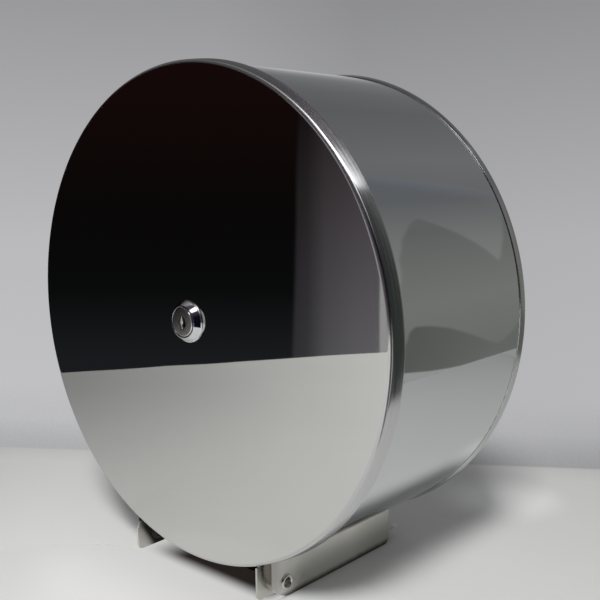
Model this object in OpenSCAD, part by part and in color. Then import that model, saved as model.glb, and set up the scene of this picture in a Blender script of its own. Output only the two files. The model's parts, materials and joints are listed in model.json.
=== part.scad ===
// Jumbo toilet roll dispenser: a rolled steel drum on a pressed back plate, with a
// round cover that is hinged at the paper chute and locks onto the roll spindle.
// Millimetres. The origin is on the drum's axis at the wall, +Z is up and the cover
// faces -Y. The modules draw with the wall as the XY plane and stand the result up.

/* [Drum] */
// Depth from the wall to the face of the cover
depth = 116; // [100:1:135]
// Outside radius of the drum wall
drum_r = 128.7; // [115:0.1:145]
// Sheet thickness of the drum wall and its chute lips
drum_t = 0.8; // [0.6:0.1:1.2]
// Distance of the drum's front edge behind the face of the cover
drum_setback = 3.2; // [2.4:0.1:5]
// Width of the flange turned inward round the drum's front edge
front_flange_w = 4; // [3:0.5:7]
// Inside radius of the sheet's bends
sheet_bend = 1; // [0.6:0.1:1.6]

/* [Paper chute] */
// Width over the outer faces of the two lips
chute_w = 105.5; // [90:0.5:130]
// Drop of the lips' lower edge below the lowest point of the drum
lip_drop = 11.5; // [9:0.5:25]
// Radius of each lip's lower front corner
lip_corner_r = 16; // [6:0.5:17]
// Radius of each lip's lower rear corner
lip_rear_r = 4; // [2:0.5:6]
// Width of the flange turned inward along the right lip's front edge
lip_flange_w = 4.5; // [3:0.5:5]
// Gap between each lip's rear edge and the rim of the back plate
lip_rear_gap = 8; // [0.5:0.5:14]
// Reach of the pointed tab bent out and back at each lip's rear edge
tab_w = 5; // [3:0.5:7]
// Height of the tab where it joins the lip
tab_h = 4; // [3:0.5:6]
// Height of the tab's lower end above the lips' lower edge
tab_rise = 6.5; // [6:0.5:8]

/* [Back plate] */
// Sheet thickness of the back plate
back_t = 1; // [0.8:0.1:1.4]
// Height of the rim turned forward round the drum
rim_h = 5; // [4:0.5:8]
// Gap between the drum and the rim
rim_gap = 0.2; // [0.1:0.05:0.4]
// Radius of the stiffening bead's middle line
bead_r = 113; // [108:1:118]
// Inside radius of the bead's half-round section
bead_section_r = 2.5; // [2:0.1:3.5]
// Inner radius of the raised seat that carries the spindle
seat_in_r = 27; // [25:0.5:30]
// Outer radius of the raised seat
seat_out_r = 50; // [47:0.5:60]
// Height of the raised seat
seat_h = 2.2; // [1.6:0.1:3]
// Distance between the wall screws, across and up
screw_pitch = 140; // [120:1:145]
// Radius of the wall screw holes
screw_hole_r = 3; // [2:0.1:4]

/* [Spindle] */
// Outside radius of the spindle tube
spindle_r = 22; // [21:0.5:23]
// Wall of the spindle tube
spindle_t = 1.2; // [1:0.1:1.6]
// Outside radius of the spindle's foot flange
flange_r = 46; // [43:0.5:48]
// Sheet thickness of the foot flange and the keeper plate
flange_t = 1.5; // [1.2:0.1:2]
// Height of the flange's neck inside the tube
neck_h = 8; // [5:0.5:15]
// Slide-in gap between the tube and what is fitted inside it
spigot_gap = 0.1; // [0.05:0.05:0.2]
// Depth of the keeper plate's spigot inside the tube
keeper_spigot_h = 3; // [2:0.5:5]
// Number of rivets through the foot flange
rivet_n = 4; // [3:1:8]
// Radius of the circle that the rivets stand on
rivet_circle_r = 38; // [36:0.5:40]
// Radius of a rivet's shank
rivet_r = 1.6; // [1.2:0.1:2]
// Radius of a rivet's head
rivet_head_r = 3.2; // [2.6:0.1:4]

/* [Cover] */
// Sheet thickness of the cover
cover_t = 0.8; // [0.6:0.1:1.2]
// Gap between the drum and the cover's skirt
skirt_gap = 0.5; // [0.4:0.05:0.8]
// Depth of the skirt behind the face of the cover
skirt_depth = 9; // [7:0.5:14]
// Outside radius of the cover's rounded edge
edge_r = 2; // [1.4:0.1:3]
// Gap between the skirt's ends and the chute lips
skirt_end_gap = 1; // [0.8:0.1:5]

/* [Hinge] */
// Distance of the hinge's axis behind the face of the cover
pivot_back = 15.5; // [14:0.5:22]
// Height of the hinge's axis above the lips' lower edge
pivot_rise = 8; // [7:0.1:9]
// Length of the spacer between the right lip and the bracket's straight ear
spacer_l = 5.5; // [3.5:0.5:9]
// Outside radius of the spacer
spacer_r = 5; // [4.5:0.1:5.5]
// Thickness of the washer under the left rivet's inner end
hinge_washer_t = 0.5; // [0.4:0.1:0.8]
// Side play at each end of the spacer, beside the left ear and under each rivet's inner end
side_play = 0.2; // [0.1:0.05:0.4]
// Sheet thickness of the hinge bracket
bracket_t = 1.2; // [1:0.1:2]
// Height of the bracket's strip on the back of the cover
bracket_h = 24; // [16:1:34]
// Reach of the ears behind the hinge's axis
ear_tail = 6; // [5:0.1:7]
// Radius of the ears' lower corners
ear_corner_r = 3; // [1:0.5:5]
// Height of the ears' lower edge above the lips' lower edge
ear_rise = 0.5; // [0.3:0.1:1.5]
// Gap between the ears and the cover's rounded edge
ear_gap = 0.3; // [0.2:0.1:0.6]
// Radius of a hollow hinge rivet's shank
pin_r = 3; // [2.5:0.1:3.4]
// Wall of the hollow rivet
pin_t = 0.7; // [0.5:0.1:0.9]
// Radius of the rivet's rolled ends
pin_head_r = 4.4; // [3.8:0.1:4.6]
// Running gap round a hinge rivet
pin_gap = 0.05; // [0.02:0.01:0.1]

/* [Lock] */
// Radius of the barrel's flange
bezel_r = 11; // [10.5:0.1:13]
// Thickness of the barrel's flange
bezel_t = 0.9; // [0.6:0.1:1.5]
// Height of the conical bezel in front of the cover
bezel_h = 4.8; // [3.5:0.1:7]
// Radius of the bezel's front edge
bezel_front_r = 8.9; // [8.6:0.1:9.4]
// Radius of the barrel's threaded stem
stem_r = 9.5; // [9:0.1:10]
// Length of the stem behind the face of the cover
stem_l = 20; // [16:0.5:26]
// Distance across the stem's two flats
stem_flats = 16.4; // [15.5:0.1:17.5]
// Radius of the plug's head
plug_head_r = 7.5; // [7:0.1:7.6]
// Gap round the plug's head
plug_head_gap = 0.6; // [0.3:0.1:0.8]
// Length of the plug's head behind its face
plug_head_l = 6; // [5:0.1:8]
// Radius of the plug's body
plug_r = 6.4; // [6:0.1:6.6]
// Running gap round the plug's body
plug_gap = 0.05; // [0.02:0.01:0.1]
// Height of the keyway
keyway_h = 8.4; // [7:0.1:9.6]
// Width of the keyway
keyway_w = 1.5; // [1:0.1:2]
// Number of wafers behind the keyway
wafer_n = 6; // [3:1:7]
// Thickness of a wafer
wafer_t = 1.1; // [0.8:0.1:1.3]
// Radius at the tip of the cam
cam_reach = 18; // [15:0.5:18.5]
// Width of the cam
cam_w = 10; // [8:0.5:12]
// Thickness of the cam
cam_t = 2; // [1.5:0.1:2.5]
// Side of the square that drives the cam
drive_side = 7.4; // [6:0.1:8]
// Distance across the flats of the lock nut
nut_flats = 24; // [22:0.5:27]
// Thickness of the lock nut
nut_t = 4; // [3:0.5:6]
// Thickness of the washers in the lock
washer_t = 0.8; // [0.5:0.1:1.2]
// Distance between the closed cam and the keeper plate
keeper_gap = 0.8; // [0.4:0.1:2]

/* [Hidden] */
$fn = 96;

polished = [0.62, 0.63, 0.66];
satin = [0.72, 0.73, 0.74];
zinc = [0.60, 0.61, 0.58];
chrome = [0.82, 0.83, 0.86];
dark_metal = [0.34, 0.35, 0.38];
nylon = [0.90, 0.90, 0.86];

over = 1;                 // how far a cutter runs past what it cuts
loose = 0.1;              // play of a small part on its stem or in its pocket
seam = 0.02;              // how far a bend's faces lie inside the sheets that it joins

// Drum and chute
lip_x = chute_w / 2;
chute_drop = drum_r + lip_drop;
drum_front = depth - drum_setback;
out_bend = sheet_bend + drum_t;
rim_bend = sheet_bend + back_t;
lip_rear = rim_h + lip_rear_gap;
bend_x = lip_x + sheet_bend;
bend_y = -sqrt(pow(drum_r + sheet_bend, 2) - pow(bend_x, 2));
mouth_angle = asin(bend_x / (drum_r + sheet_bend));
rim_r = drum_r + rim_gap + back_t;
cover_r = drum_r + skirt_gap + cover_t;

// Lock, from the cover's face towards the wall
cover_back = depth - cover_t;
stem_end = depth - stem_l;
cam_front = stem_end - side_play;
cam_back = cam_front - cam_t;
plug_face = depth + bezel_h + 0.1;
keeper_back = cam_front + keeper_gap;
bore_r = plug_r + plug_gap;
tap_r = 2.5;
screw_l = 8;
screw_head_r = 4.4;
screw_head_h = 2.6;
chamber_w = 7;
chamber_h = 9.6;
chamber_front = plug_face - 1.4;
wafer_pitch = wafer_t + 0.7;

// Spindle
seat_front = back_t + seat_h;
flange_front = seat_front + flange_t;
tube_bore = spindle_r - spindle_t;
shoulder = back_t * tan(22.5);

// Hinge
pivot_y = pivot_rise - chute_drop;
pivot_z = depth - pivot_back;
lip_in = lip_x - drum_t;
ear_x = lip_in - 2 * side_play - spacer_l;
ear_left_x = lip_in - side_play;
ear_foot = ear_rise - chute_drop;
rim_low = -sqrt(pow(cover_r, 2) - pow(ear_x, 2)) - ear_gap;
ear_step = depth - edge_r - ear_gap;
bracket_low = 4 - sqrt(pow(cover_r - edge_r, 2) - pow(ear_x, 2));
bracket_bend = sheet_bend + bracket_t;

// Stands a drawing made on the wall plane upright: its Z becomes the way to the front.
module upright() rotate([90, 0, 0]) children();

// A plate parallel to the lips, from x back to x - t, whose outline is drawn as [depth, height].
module side_plate(x, t) translate([x, 0, 0]) rotate([0, -90, 0]) linear_extrude(t) children();

// A round bar along X at the hinge's axis, from x_low to x_high.
module on_pivot(x_low, x_high, r)
    translate([x_low, pivot_y, pivot_z]) rotate([0, 90, 0]) cylinder(r = r, h = x_high - x_low);

// A quarter of a bent sheet's section, with its corner to the upper right of [x, y].
module bend_section(x, y, inner, t)
    translate([x, y]) intersection() {
        difference() {
            circle(inner + t);
            circle(inner);
        }
        square(inner + t);
    }

// Repeats its children on both sides of the middle.
module both_sides() {
    children();
    mirror([1, 0, 0]) children();
}

// ---- Drum ----

module drum_wall() {
    rotate([0, 0, mouth_angle - 90]) rotate_extrude(angle = 360 - 2 * mouth_angle) {
        translate([drum_r - drum_t, rim_bend]) square([drum_t, drum_front - out_bend - rim_bend]);
        bend_section(drum_r - out_bend, drum_front - out_bend, sheet_bend, drum_t);
        translate([drum_r - front_flange_w, drum_front - drum_t]) square([front_flange_w - out_bend, drum_t]);
    }
}

module lip_outline()
    difference() {
        translate([lip_rear, -chute_drop]) square([drum_front - lip_rear, bend_y + chute_drop]);
        translate([drum_front - lip_corner_r, -chute_drop]) difference() {
            square(lip_corner_r);
            translate([0, lip_corner_r]) circle(lip_corner_r);
        }
        translate([lip_rear, -chute_drop]) difference() {
            square(2 * lip_rear_r, center = true);
            translate([lip_rear_r, lip_rear_r]) circle(lip_rear_r);
        }
    }

module lip_flange_outline()
    difference() {
        lip_outline();
        translate([0, -chute_drop - over]) square([drum_front - lip_corner_r, chute_drop + over]);
        translate([drum_front - lip_corner_r, lip_corner_r - chute_drop]) {
            circle(lip_corner_r - drum_t);
            square([lip_corner_r - drum_t, chute_drop]);
        }
    }

// The bend that turns the drum wall down into the lip. It runs a few degrees into both.
module lip_bend()
    translate([bend_x, bend_y, lip_rear]) linear_extrude(drum_front - lip_rear) intersection() {
        difference() {
            circle(out_bend - seam);
            circle(sheet_bend + seam);
        }
        polygon([[0, 0], for (a = [185, 150, 85 + mouth_angle]) 2 * out_bend * [cos(a), sin(a)]]);
    }

module rear_tab() {
    root = drum_t / 4;
    translate([lip_in + root, tab_rise - chute_drop, lip_rear]) rotate([0, 45, 0]) linear_extrude(drum_t)
        polygon([[-root / 2, 0], [tab_w, tab_h], [-root / 2, tab_h]]);
}

module lip()
    difference() {
        union() {
            side_plate(lip_x, drum_t) lip_outline();
            children();
            lip_bend();
            rear_tab();
        }
        on_pivot(lip_in - over, lip_x + over, pin_r + pin_gap);
    }

module drum_shell()
    color(satin) upright() {
        drum_wall();
        lip() side_plate(lip_x, lip_flange_w) lip_flange_outline();
        mirror([1, 0, 0]) lip();
    }

// ---- Back plate ----

module back_section() {
    polygon([
        [0, 0], [seat_in_r + shoulder, 0], [seat_in_r + seat_h + shoulder, seat_h],
        [seat_out_r - seat_h - shoulder, seat_h], [seat_out_r - shoulder, 0], [bead_r, 0], [bead_r, back_t],
        [seat_out_r, back_t], [seat_out_r - seat_h, seat_front], [seat_in_r + seat_h, seat_front],
        [seat_in_r, back_t], [0, back_t],
    ]);
    translate([bead_r, 0]) square([rim_r - rim_bend - bead_r, back_t]);
    translate([bead_r, 0]) intersection() {
        circle(bead_section_r + back_t);
        translate([-2 * bead_section_r, 0]) square(4 * bead_section_r);
    }
    translate([0, rim_bend]) mirror([0, 1]) bend_section(rim_r - rim_bend, 0, sheet_bend, back_t);
    translate([rim_r - back_t, rim_bend]) square([back_t, rim_h - rim_bend]);
}

module at_rivets()
    for (i = [0 : rivet_n - 1]) rotate([0, 0, 45 + i * 360 / rivet_n]) translate([rivet_circle_r, 0, 0]) children();

module back_plate()
    color(satin) upright() difference() {
        rotate_extrude() difference() {
            back_section();
            translate([bead_r, 0]) circle(bead_section_r);
        }
        for (x = [-1, 1], y = [-1, 1]) translate([x * screw_pitch / 2, y * screw_pitch / 2, -over])
            cylinder(r = screw_hole_r, h = back_t + 2 * over);
        at_rivets() cylinder(r = rivet_r + pin_gap, h = seat_front + over);
    }

// ---- Spindle ----

module spindle_flange()
    color(satin) upright() difference() {
        rotate_extrude() {
            translate([tube_bore - spigot_gap - flange_t, seat_front])
                square([flange_r + flange_t + spigot_gap - tube_bore, flange_t]);
            translate([tube_bore - spigot_gap - flange_t, seat_front]) square([flange_t, flange_t + neck_h]);
        }
        at_rivets() cylinder(r = rivet_r + pin_gap, h = flange_front + over);
    }

module spindle_tube()
    color(satin) upright() translate([0, 0, flange_front]) difference() {
        cylinder(r = spindle_r, h = keeper_back - flange_front);
        translate([0, 0, -over]) cylinder(r = tube_bore, h = keeper_back - flange_front + 2 * over);
    }

module spindle_rivets()
    color(zinc) upright() at_rivets() {
        tail_h = seat_h * 0.4;
        translate([0, 0, seat_h - tail_h]) cylinder(r = 0.8 * rivet_head_r, h = tail_h);
        translate([0, 0, seat_h - tail_h]) cylinder(r = rivet_r, h = flange_front - seat_h + tail_h);
        translate([0, 0, flange_front]) rotate_extrude() intersection() {
            dome = rivet_head_r / sin(50);
            translate([0, -dome * cos(50)]) circle(dome);
            square(rivet_head_r);
        }
    }

module lock_keeper()
    color(satin) upright() translate([0, 0, keeper_back]) difference() {
        union() {
            cylinder(r = spindle_r, h = flange_t);
            translate([0, 0, -keeper_spigot_h]) cylinder(r = tube_bore - spigot_gap, h = keeper_spigot_h);
        }
        translate([0, 0, -keeper_spigot_h - over]) cylinder(r = cam_reach + 1.5, h = keeper_spigot_h + over);
        translate([0, 0, -over]) cylinder(r = stem_r + 1.5, h = flange_t + 2 * over);
        translate([-cam_w / 2 - 1, 0, -over]) cube([cam_w + 2, cam_reach + 1.5, flange_t + 2 * over]);
    }

// ---- Hinge ----

// A rolled end of a hollow rivet, standing on the plane of a lip or an ear.
module rolled_end(x, way)
    translate([x, pivot_y, pivot_z]) rotate([0, 90 * way, 0]) rotate_extrude() intersection() {
        translate([(pin_head_r + pin_r - pin_t) / 2, 0]) circle((pin_head_r - pin_r + pin_t) / 2);
        square(pin_head_r);
    }

// A hollow rivet from its rolled end at the plane x = inner out to the lip's outer face.
module hinge_rivet(inner)
    upright() {
        difference() {
            on_pivot(inner, lip_x, pin_r);
            on_pivot(inner - over, lip_x + over, pin_r - pin_t);
        }
        rolled_end(lip_x, 1);
        rolled_end(inner, -1);
    }

module hinge_rivet_right() color(zinc) hinge_rivet(ear_x - bracket_t - side_play);
module hinge_rivet_left() color(zinc) mirror([1, 0, 0])
    hinge_rivet(ear_left_x - bracket_t - hinge_washer_t - 2 * side_play);

module hinge_spacer_right()
    color(nylon) upright() difference() {
        on_pivot(ear_x + side_play, ear_x + side_play + spacer_l, spacer_r);
        on_pivot(ear_x, lip_x, pin_r + pin_gap);
    }

module hinge_washer_left()
    color(nylon) upright() mirror([1, 0, 0]) difference() {
        front = ear_left_x - bracket_t - side_play;
        on_pivot(front - hinge_washer_t, front, spacer_r);
        on_pivot(front - hinge_washer_t - over, front + over, pin_r + pin_gap);
    }

// The ear reaches from the strip on the cover down past the hinge's axis. Its front edge
// steps back round the cover's rounded edge.
module ear_outline() {
    back = pivot_z - ear_tail;
    difference() {
        polygon([
            [back, ear_foot], [cover_back, ear_foot], [cover_back, rim_low], [ear_step, rim_low],
            [ear_step, bracket_low], [cover_back - bracket_bend, bracket_low],
            [cover_back - bracket_bend, bracket_low + bracket_h],
            [ear_step - ear_corner_r, bracket_low + bracket_h], [back, bracket_low],
        ]);
        for (at = [[back, 1], [cover_back, -1]]) translate([at[0], ear_foot]) difference() {
            square(2 * ear_corner_r, center = true);
            translate([at[1] * ear_corner_r, ear_corner_r]) circle(ear_corner_r);
        }
    }
}

// The left ear's section, drawn as [distance to the left, height]. It steps out to the lip.
module left_ear_section() {
    step_low = pivot_y + max(pin_head_r, spacer_r) + side_play;
    polygon([
        [ear_x, bracket_low + bracket_h], [ear_x, bracket_low], [ear_left_x, step_low], [ear_left_x, ear_foot],
        [ear_left_x - bracket_t, ear_foot], [ear_left_x - bracket_t, step_low],
        [ear_x - bracket_t, bracket_low], [ear_x - bracket_t, bracket_low + bracket_h],
    ]);
}

module hinge_bracket()
    color(zinc) upright() {
        translate([bracket_bend - ear_x, bracket_low, cover_back - bracket_t])
            cube([2 * (ear_x - bracket_bend), bracket_h, bracket_t]);
        both_sides() translate([0, bracket_low, 0]) rotate([-90, 0, 0]) linear_extrude(bracket_h) mirror([0, 1])
            bend_section(ear_x - bracket_bend, cover_back - bracket_bend, sheet_bend, bracket_t);
        difference() {
            union() {
                side_plate(ear_x, bracket_t) ear_outline();
                mirror([1, 0, 0]) intersection() {
                    linear_extrude(depth) left_ear_section();
                    side_plate(lip_x, lip_x - ear_x + 2 * bracket_t) ear_outline();
                }
            }
            on_pivot(-lip_x, lip_x, pin_r + pin_gap);
        }
    }

// ---- Cover ----

module front_cover()
    color(polished) upright() difference() {
        rotate_extrude() {
            translate([0, cover_back]) square([cover_r - edge_r, cover_t]);
            bend_section(cover_r - edge_r, depth - edge_r, edge_r - cover_t, cover_t);
            translate([cover_r - cover_t, depth - skirt_depth]) square([cover_t, skirt_depth - edge_r]);
        }
        translate([-lip_x - skirt_end_gap, -cover_r - over, depth - skirt_depth - over])
            cube([2 * (lip_x + skirt_end_gap), cover_r, skirt_depth - edge_r + over]);
        stem_shape(loose, cover_back - over, depth + over);
    }

// ---- Lock ----

// The stem's round section with its two flats, grown by gap, between two depths.
module stem_shape(gap, low, high)
    translate([0, 0, low]) intersection() {
        cylinder(r = stem_r + gap, h = high - low);
        translate([-stem_flats / 2 - gap, -2 * stem_r, 0]) cube([stem_flats + 2 * gap, 4 * stem_r, high - low]);
    }

module lock_barrel() {
    pocket_r = plug_head_r + plug_head_gap;
    color(chrome) upright() difference() {
        union() {
            stem_shape(0, stem_end, depth);
            translate([0, 0, depth]) rotate_extrude() polygon([
                [0, 0], [bezel_r, 0], [bezel_r, bezel_t * 0.6], [bezel_r - bezel_t * 0.4, bezel_t],
                [bezel_r - bezel_t, bezel_t], [bezel_front_r, bezel_h - 0.4], [bezel_front_r - 0.4, bezel_h],
                [0, bezel_h],
            ]);
        }
        translate([0, 0, stem_end - over]) cylinder(r = bore_r, h = stem_l + bezel_h + 2 * over);
        translate([0, 0, plug_face - plug_head_l - side_play])
            cylinder(r = pocket_r, h = plug_head_l + side_play + over);
    }
}

module lock_washer()
    color(zinc) upright() translate([0, 0, cover_back - washer_t]) difference() {
        cylinder(r = nut_flats / 2, h = washer_t);
        translate([0, 0, -over]) cylinder(r = stem_r + loose, h = washer_t + 2 * over);
    }

module lock_nut()
    color(zinc) upright() translate([0, 0, cover_back - washer_t - nut_t]) difference() {
        cylinder(r = nut_flats / 2 / cos(30), h = nut_t, $fn = 6);
        translate([0, 0, -over]) cylinder(r = stem_r + loose, h = nut_t + 2 * over);
    }

// The keyway's zig-zag section.
module keyway() {
    step = keyway_h / 4;
    sway = keyway_w * 0.4;
    left = [for (i = [0 : 4]) [(i % 2 == 0 ? -sway : sway) - keyway_w / 2, i * step - keyway_h / 2]];
    right = [for (i = [4 : -1 : 0]) [(i % 2 == 0 ? -sway : sway) + keyway_w / 2, i * step - keyway_h / 2]];
    polygon(concat(left, right));
}

module lock_plug() {
    chamber_back = chamber_front - wafer_n * wafer_pitch - 1;
    color(dark_metal) upright() difference() {
        union() {
            translate([0, 0, plug_face - plug_head_l]) cylinder(r = plug_head_r, h = plug_head_l);
            translate([0, 0, stem_end]) cylinder(r = plug_r, h = plug_face - stem_end - over);
            translate([-drive_side / 2, -drive_side / 2, cam_back])
                cube([drive_side, drive_side, stem_end - cam_back + over]);
        }
        translate([0, 0, chamber_front - over]) linear_extrude(plug_face - chamber_front + 2 * over) keyway();
        translate([-chamber_w / 2, -chamber_h / 2, chamber_back])
            cube([chamber_w, chamber_h, chamber_front - chamber_back]);
        translate([0, 0, cam_back - over]) cylinder(r = tap_r, h = screw_l + over);
    }
}

module lock_wafers()
    color(satin) upright() for (i = [0 : wafer_n - 1]) {
        shift = 0.5 * (i % 2 == 0 ? 1 : -1);
        translate([0, 0, chamber_front - (i + 1) * wafer_pitch]) linear_extrude(wafer_t) difference() {
            square([chamber_w - 2 * loose, chamber_h - 2 * loose], center = true);
            translate([0.9 - keyway_w / 2, shift - keyway_h / 2 + 0.9]) square([keyway_w, keyway_h - 1.8]);
        }
    }

module lock_cam()
    color(zinc) upright() translate([0, 0, cam_back]) linear_extrude(cam_t) difference() {
        union() {
            circle(cam_w * 0.7);
            translate([-cam_w / 2, 0]) square([cam_w, cam_reach - cam_w / 2]);
            intersection() {
                circle(cam_reach);
                translate([-cam_w / 2, 0]) square([cam_w, cam_reach]);
            }
        }
        square(drive_side + 2 * loose, center = true);
    }

module cam_washer()
    color(zinc) upright() translate([0, 0, cam_back - washer_t]) difference() {
        cylinder(r = screw_head_r + 1.4, h = washer_t);
        translate([0, 0, -over]) cylinder(r = tap_r + loose, h = washer_t + 2 * over);
    }

module cam_screw()
    color(zinc) upright() {
        under_head = cam_back - washer_t;
        translate([0, 0, under_head]) cylinder(r = tap_r - pin_gap, h = screw_l + washer_t - 2 * over);
        difference() {
            translate([0, 0, under_head - screw_head_h]) cylinder(r = screw_head_r, h = screw_head_h);
            translate([-0.6, -screw_head_r, under_head - screw_head_h - over])
                cube([1.2, 2 * screw_head_r, 1.3 + over]);
        }
    }

drum_shell();
back_plate();
spindle_flange();
spindle_tube();
spindle_rivets();
lock_keeper();
hinge_rivet_left();
hinge_rivet_right();
hinge_washer_left();
hinge_spacer_right();
front_cover();
hinge_bracket();
lock_barrel();
lock_washer();
lock_nut();
lock_plug();
lock_wafers();
lock_cam();
cam_washer();
cam_screw();
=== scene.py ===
"""Jumbo toilet roll dispenser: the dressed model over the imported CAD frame."""
import json
import math

import bmesh
import bpy
from mathutils import Matrix, Vector


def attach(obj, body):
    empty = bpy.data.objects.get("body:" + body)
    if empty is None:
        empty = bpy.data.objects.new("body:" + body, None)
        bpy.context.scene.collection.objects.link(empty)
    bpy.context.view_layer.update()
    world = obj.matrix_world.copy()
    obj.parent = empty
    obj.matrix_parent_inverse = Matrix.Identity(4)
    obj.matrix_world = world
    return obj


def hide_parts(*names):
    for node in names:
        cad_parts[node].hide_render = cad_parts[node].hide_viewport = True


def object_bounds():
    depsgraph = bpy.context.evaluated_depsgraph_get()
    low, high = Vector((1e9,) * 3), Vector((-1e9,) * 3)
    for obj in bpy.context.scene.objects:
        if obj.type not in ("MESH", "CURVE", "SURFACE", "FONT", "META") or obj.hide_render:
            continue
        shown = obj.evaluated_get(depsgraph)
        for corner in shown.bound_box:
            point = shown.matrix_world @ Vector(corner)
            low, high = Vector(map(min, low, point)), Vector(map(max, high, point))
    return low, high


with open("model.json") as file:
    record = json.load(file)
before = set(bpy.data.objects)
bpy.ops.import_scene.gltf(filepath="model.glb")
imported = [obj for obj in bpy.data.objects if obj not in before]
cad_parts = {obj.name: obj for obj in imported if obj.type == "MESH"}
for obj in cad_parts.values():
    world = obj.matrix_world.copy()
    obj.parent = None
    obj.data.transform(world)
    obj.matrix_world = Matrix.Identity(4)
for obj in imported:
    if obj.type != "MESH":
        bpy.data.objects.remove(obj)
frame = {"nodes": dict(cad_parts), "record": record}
cad_low, cad_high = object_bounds()
nodes = frame["nodes"]

MM = 0.001
FLOOR_Z = cad_low.z

# ---- Camera ----

PICTURE_PX = 600.0
SENSOR_MM = 36.0
CAM_POS = Vector((0.34637, -0.41120, 0.07861))
CAM_YAW, CAM_PITCH, CAM_ROLL = -0.7048, -0.1833, -0.0013
CAM_FOCAL_PX = 890.69
CAM_CENTRE_PX = (330.0, 330.0)

ahead = Vector((
    math.sin(CAM_YAW) * math.cos(CAM_PITCH),
    math.cos(CAM_YAW) * math.cos(CAM_PITCH),
    math.sin(CAM_PITCH),
))
side = ahead.cross(Vector((0, 0, 1))).normalized()
lift = side.cross(ahead)
right = math.cos(CAM_ROLL) * side + math.sin(CAM_ROLL) * lift
up = math.cos(CAM_ROLL) * lift - math.sin(CAM_ROLL) * side

cam_data = bpy.data.cameras.new("camera")
cam_data.sensor_width = SENSOR_MM
cam_data.lens = CAM_FOCAL_PX / PICTURE_PX * SENSOR_MM
cam_data.shift_x = (PICTURE_PX / 2 - CAM_CENTRE_PX[0]) / PICTURE_PX
cam_data.shift_y = (CAM_CENTRE_PX[1] - PICTURE_PX / 2) / PICTURE_PX
cam_data.clip_start = 0.01
cam_data.clip_end = 50
camera = bpy.data.objects.new("camera", cam_data)
bpy.context.scene.collection.objects.link(camera)
turn = Matrix((right, up, -ahead)).transposed().to_4x4()
camera.matrix_world = Matrix.Translation(CAM_POS) @ turn
bpy.context.scene.camera = camera

bpy.context.scene.view_settings.view_transform = "Standard"


# ---- Colour and node helpers ----

# The steel gives back this share of what it mirrors.
STEEL_MIRRORS = 0.62


def grey(v):
    return (v, v, v, 1)


def linear(rgb, gain=1.0):
    """Turns 0-255 display values into linear light."""
    def one(v):
        v = v / 255
        return (v / 12.92 if v <= 0.04045 else ((v + 0.055) / 1.055) ** 2.4) * gain
    return (*[one(v) for v in rgb], 1)


def in_steel(*rgb):
    """The light that shows as this display value when the steel mirrors it."""
    return linear(rgb, 1 / STEEL_MIRRORS)


class Net:
    """A node tree in the making, with short forms for the nodes that come up again and again."""

    def __init__(self, tree):
        self.tree = tree
        tree.nodes.clear()

    def add(self, kind, inputs=None, **props):
        node = self.tree.nodes.new("ShaderNode" + kind)
        for key, value in props.items():
            setattr(node, key, value)
        for key, value in (inputs or {}).items():
            self.put(node.inputs[key], value)
        return node

    def put(self, socket, value):
        if hasattr(value, "is_output"):
            self.tree.links.new(value, socket)
        else:
            socket.default_value = value

    def math(self, op, a, b=0.0, clamp=False):
        return self.add("Math", {0: a, 1: b}, operation=op, use_clamp=clamp).outputs[0]

    def product(self, first, *others):
        for other in others:
            first = self.math("MULTIPLY", first, other)
        return first

    def swing(self, noise, amount, middle, clamp=False):
        """A value that strays from its middle with a noise of 0 to 1."""
        part = self.math("MULTIPLY", self.math("SUBTRACT", noise, 0.5), amount)
        return self.math("ADD", part, middle, clamp)

    def vector(self, op, a, b=(0, 0, 0)):
        node = self.add("VectorMath", {0: a, 1: b}, operation=op)
        return node.outputs["Value" if op in ("DOT_PRODUCT", "DISTANCE") else "Vector"]

    def scale(self, colour, value):
        return self.add("VectorMath", {0: colour, "Scale": value}, operation="SCALE").outputs["Vector"]

    def split(self, vector):
        return self.add("SeparateXYZ", {0: vector}).outputs[:3]

    def first_channel(self, colour):
        return self.add("SeparateColor", {0: colour}).outputs[0]

    def noise(self, vector, scale, detail):
        return self.add("TexNoise", {"Vector": vector, "Scale": scale, "Detail": detail}).outputs["Fac"]

    def between(self, value, lo, hi, to_lo=0.0, to_hi=1.0, smooth=True):
        """Maps lo..hi to to_lo..to_hi and holds the ends."""
        kind = "SMOOTHSTEP" if smooth else "LINEAR"
        inputs = {"Value": value, "From Min": lo, "From Max": hi, "To Min": to_lo, "To Max": to_hi}
        return self.add("MapRange", inputs, interpolation_type=kind).outputs[0]

    def falling(self, value, lo, hi):
        return self.between(value, lo, hi, 1.0, 0.0)

    def within(self, *limits):
        """1 inside all the limits, each given as a value with its soft rise and its soft fall."""
        parts = []
        for value, rise, fall in limits:
            parts += [self.between(value, *rise), self.falling(value, *fall)]
        return self.product(*parts)

    def ramp(self, value, stops):
        """A straight ramp. Its stops are in the value's own units, their tones greys or colours."""
        lo, hi = stops[0][0], stops[-1][0]
        unit = self.math("DIVIDE", self.math("SUBTRACT", value, lo), hi - lo)
        node = self.add("ValToRGB", {"Fac": unit})
        elements = node.color_ramp.elements
        while len(elements) > 1:
            elements.remove(elements[-1])
        for i, (at, tone) in enumerate(stops):
            place = (at - lo) / (hi - lo)
            if i:
                element = elements.new(place)
            else:
                element = elements[0]
                element.position = place
            element.color = grey(tone) if isinstance(tone, (int, float)) else tone
        return node.outputs["Color"]

    def mix(self, fac, a, b):
        node = self.add("Mix", data_type="RGBA")
        self.put(node.inputs["Factor"], fac)
        for key, colour in ((6, a), (7, b)):
            whole = hasattr(colour, "is_output") or len(colour) == 4
            self.put(node.inputs[key], colour if whole else (*colour, 1))
        return node.outputs[2]

    def emission(self, colour):
        return self.add("Emission", {"Color": colour, "Strength": 1.0}).outputs[0]

    def mix_shaders(self, fac, a, b):
        return self.add("MixShader", {0: fac, 1: a, 2: b}).outputs[0]

    def finish(self, shader):
        self.put(self.add("OutputMaterial").inputs["Surface"], shader)


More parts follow.
